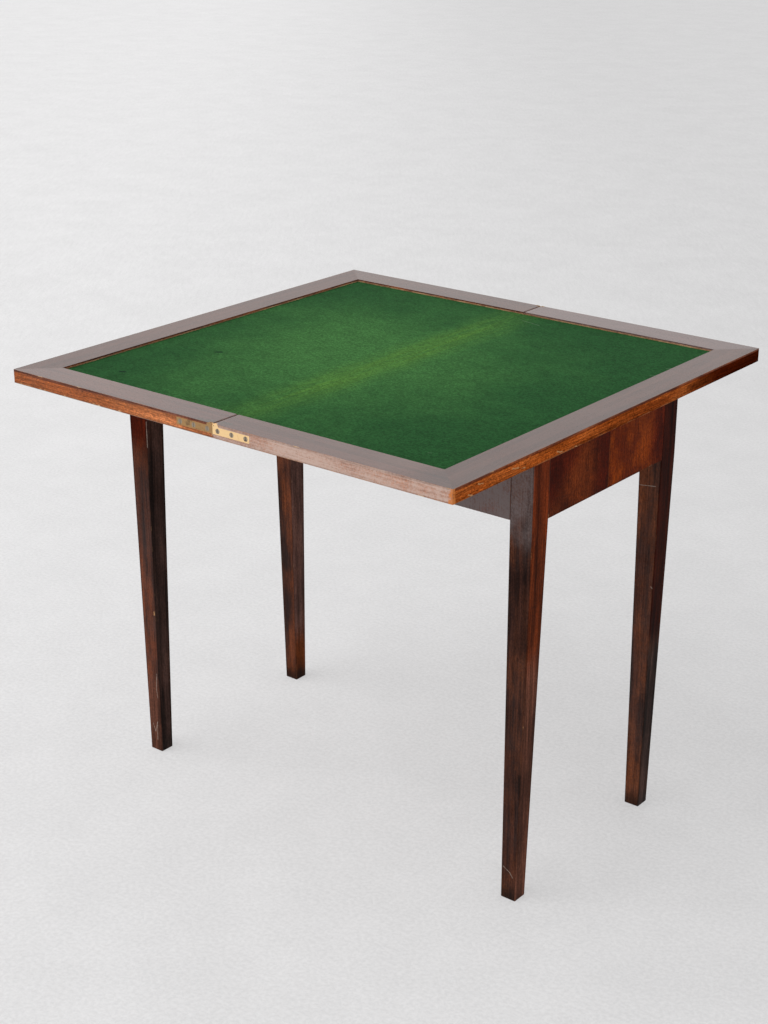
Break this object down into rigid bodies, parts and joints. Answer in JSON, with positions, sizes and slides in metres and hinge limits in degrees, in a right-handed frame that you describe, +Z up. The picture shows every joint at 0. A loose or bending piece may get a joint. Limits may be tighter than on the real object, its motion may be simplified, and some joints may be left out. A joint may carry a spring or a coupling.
{
  "type": "folding card table",
  "caption": "Fold-over card table: baize-lined hinged leaves that swivel on a frame with tapered square legs, veneered aprons and a card well.",
  "frame": {"origin": "on the floor, below the middle of the open top", "axes": "+Z up, +Y along the hinge line between the leaves, +X towards the lower leaf, which carries the pivot"},
  "size_m": [0.84, 0.826, 0.74],
  "materials": {
    "leg_wood": "dark red-brown mahogany, waxed polish",
    "apron_wood": "plain oak, unpolished",
    "veneer_wood": "mahogany veneer, polished",
    "border_wood": "mahogany banding, polished",
    "edge_wood": "orange-brown mahogany, worn polish",
    "core_wood": "pale plain wood, unpolished",
    "baize": "green wool baize, faded along the fold",
    "hinge_brass": "aged brass",
    "screw_steel": "dull slotted screws",
    "pivot_iron": "black forged iron"
  },
  "bodies": {
    "base": {"leg_front_left": "leg_wood", "leg_front_right": "leg_wood", "leg_back_left": "leg_wood", "leg_back_right": "leg_wood", "apron_front": "apron_wood", "apron_back": "apron_wood", "apron_left": "apron_wood", "apron_right": "apron_wood", "veneer_front": "veneer_wood", "veneer_back": "veneer_wood", "veneer_left_front": "veneer_wood", "veneer_left_back": "veneer_wood", "veneer_right_front": "veneer_wood", "veneer_right_back": "veneer_wood", "pivot_rail": "apron_wood", "pivot_bush": "pivot_iron", "well_board": "apron_wood", "well_partition": "apron_wood", "well_ledgers": "apron_wood"},
    "lower_leaf": {"lower_banding_long": "border_wood", "lower_banding_front": "border_wood", "lower_banding_back": "border_wood", "lower_lipping_long": "edge_wood", "lower_lipping_front": "edge_wood", "lower_lipping_back": "edge_wood", "lower_core": "core_wood", "lower_baize": "baize", "lower_hinge_plate_front": "hinge_brass", "lower_hinge_plate_back": "hinge_brass", "lower_hinge_screws": "screw_steel", "pivot_plate": "pivot_iron", "pivot_plate_screws": "screw_steel", "pivot_bolt": "pivot_iron", "pivot_washer": "pivot_iron", "pivot_nut": "pivot_iron", "stop_peg": "core_wood"},
    "hinge_links": {"hinge_link_front": "hinge_brass", "hinge_link_back": "hinge_brass", "hinge_pins": "hinge_brass"},
    "upper_leaf": {"upper_banding_long": "border_wood", "upper_banding_front": "border_wood", "upper_banding_back": "border_wood", "upper_lipping_long": "edge_wood", "upper_lipping_front": "edge_wood", "upper_lipping_back": "edge_wood", "upper_core": "core_wood", "upper_baize": "baize", "upper_hinge_plate_front": "hinge_brass", "upper_hinge_plate_back": "hinge_brass", "upper_hinge_screws": "screw_steel", "upper_show_veneer": "veneer_wood"}
  },
  "joints": [
    {"name": "top_swivel", "type": "hinge", "parent": "base", "child": "lower_leaf", "pos_m": [0.105, 0.105, 0.7185], "axis": [0, 0, 1], "range_deg": [-90, 0]},
    {"name": "link_fold", "type": "hinge", "parent": "lower_leaf", "child": "hinge_links", "pos_m": [0.0028, 0, 0.73735], "axis": [0, 1, 0], "range_deg": [0, 90]},
    {"name": "leaf_fold", "type": "hinge", "parent": "hinge_links", "child": "upper_leaf", "pos_m": [-0.0028, 0, 0.73735], "axis": [0, 1, 0], "range_deg": [0, 90]}
  ]
}
